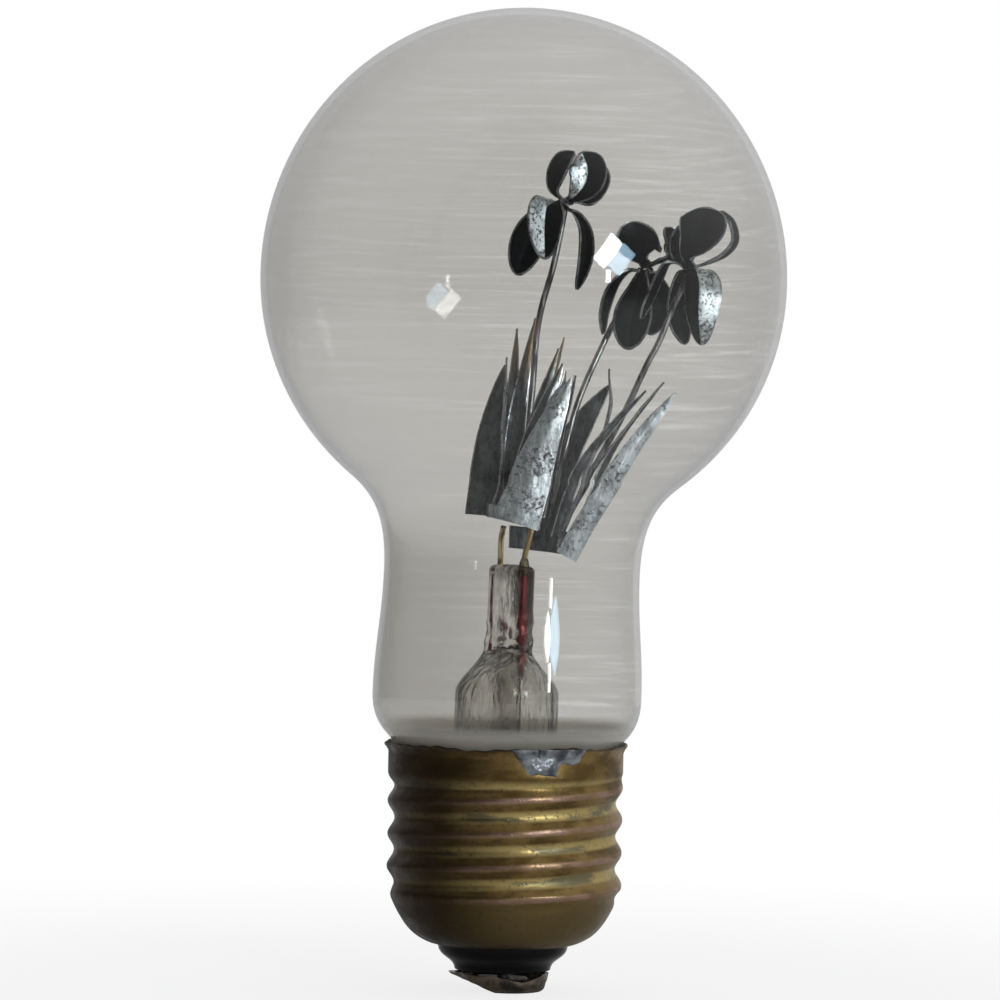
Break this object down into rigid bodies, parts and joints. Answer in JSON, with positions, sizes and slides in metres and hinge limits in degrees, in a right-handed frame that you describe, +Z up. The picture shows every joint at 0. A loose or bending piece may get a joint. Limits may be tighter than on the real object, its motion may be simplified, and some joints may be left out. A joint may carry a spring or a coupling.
{
  "type": "glow lamp",
  "caption": "Dead glow lamp shaped like a household light bulb, with sheet metal iris flower electrodes in clear glass on a worn brass screw cap",
  "frame": {"origin": "on the cap's axis at the bottom face of the centre contact, which is the face the lamp stands on", "axes": "+Z up along the cap's axis from the contact to the crown of the globe, +X to the right and +Y away from the viewer as in the picture"},
  "size_m": [0.0584, 0.0584, 0.1089],
  "materials": {
    "clear_glass": "clear blown glass with a faint smoky film inside and fine horizontal streaks",
    "shell_brass": "thin rolled brass, dark with tarnish, rubbed to bare brass and copper on the thread crests",
    "contact_brass": "dark tarnished brass with a bent and torn edge",
    "black_glass": "glossy black glass insulator",
    "solder": "dull grey solder with a cast skin and a crack",
    "cement": "matt tan basing cement",
    "nickel_wire": "nickel wire with a golden heat tint",
    "stem_wire": "drawn steel wire with dark streaks and a reddish heat tint where it was welded",
    "seal_wire": "red borated copper-clad seal wire",
    "copper_wire": "dull copper wire",
    "resistor_body": "moulded brown resistor body",
    "leaf_sheet": "grey sheet metal with a speckled sputtered skin and golden heat tint at the leaf tips",
    "petal_sheet": "dark sheet metal with bright speckled faces and pale edges"
  },
  "bodies": {
    "root": {"glass_envelope": "clear_glass", "glass_stem": "clear_glass", "inner_lead_front": "nickel_wire", "inner_lead_back": "nickel_wire", "seal_wire_front": "seal_wire", "seal_wire_back": "seal_wire", "shell_lead": "copper_wire", "resistor_lead": "copper_wire", "ballast_resistor": "resistor_body", "basing_cement": "cement", "screw_shell": "shell_brass", "insulator": "black_glass", "centre_contact": "contact_brass", "contact_solder": "solder", "rim_solder": "solder", "left_leaves_outer": "leaf_sheet", "left_leaves_middle": "leaf_sheet", "left_leaves_inner": "leaf_sheet", "right_leaves_outer": "leaf_sheet", "right_leaves_inner": "leaf_sheet", "top_flower_stem": "stem_wire", "top_flower_falls": "petal_sheet", "top_flower_standards": "petal_sheet", "middle_flower_stem": "stem_wire", "middle_flower_falls": "petal_sheet", "middle_flower_standards": "petal_sheet", "right_flower_stem": "stem_wire", "right_flower_falls": "petal_sheet", "right_flower_standards": "petal_sheet"}
  },
  "joints": []
}
